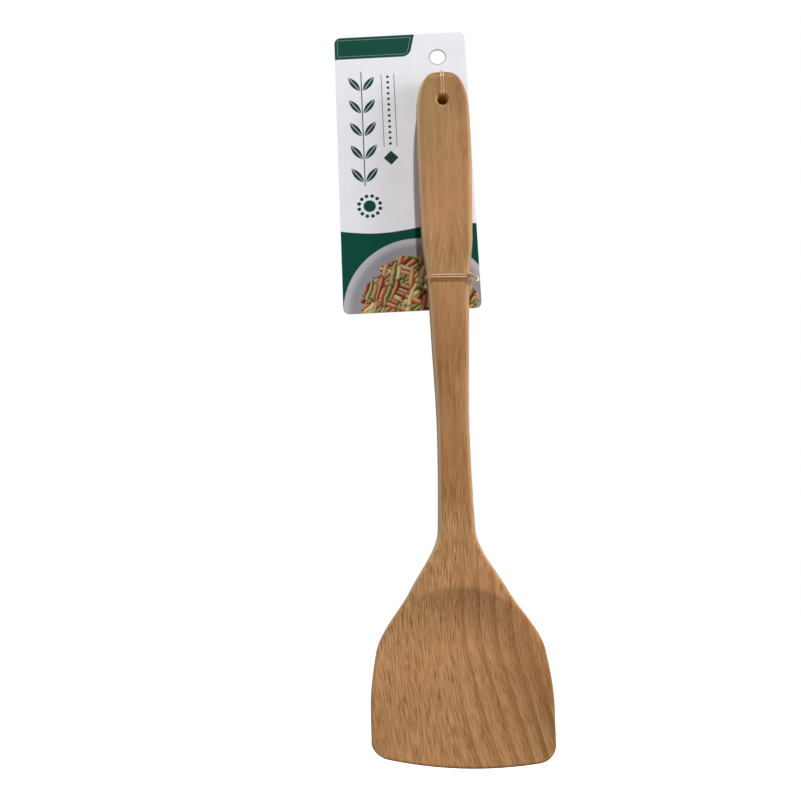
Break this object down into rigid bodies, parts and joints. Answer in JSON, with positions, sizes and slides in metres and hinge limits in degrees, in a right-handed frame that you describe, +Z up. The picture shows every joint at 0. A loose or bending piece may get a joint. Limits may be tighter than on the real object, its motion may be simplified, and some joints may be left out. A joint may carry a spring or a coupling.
{
  "type": "wooden spatula on hang card",
  "caption": "Wooden wok spatula with a bored grip and a shallow scooped blade, tied with thin clear elastic cord to a flat hang card with a punched hang hole.",
  "frame": {"origin": "centre of the card's hang hole, on the card's back face", "axes": "+Z up along the spatula towards the grip's end, +X to the right seen from the front, +Y towards the wall behind the card"},
  "size_m": [0.1046, 0.0209, 0.3956],
  "materials": {
    "beech": "fine sanded, satin oil",
    "card": "coated white face with flat print",
    "cord": "thin clear elastic cord"
  },
  "bodies": {
    "root": {"spatula": "beech", "hang_card": "card", "top_tie": "cord", "neck_tie": "cord"}
  },
  "joints": []
}
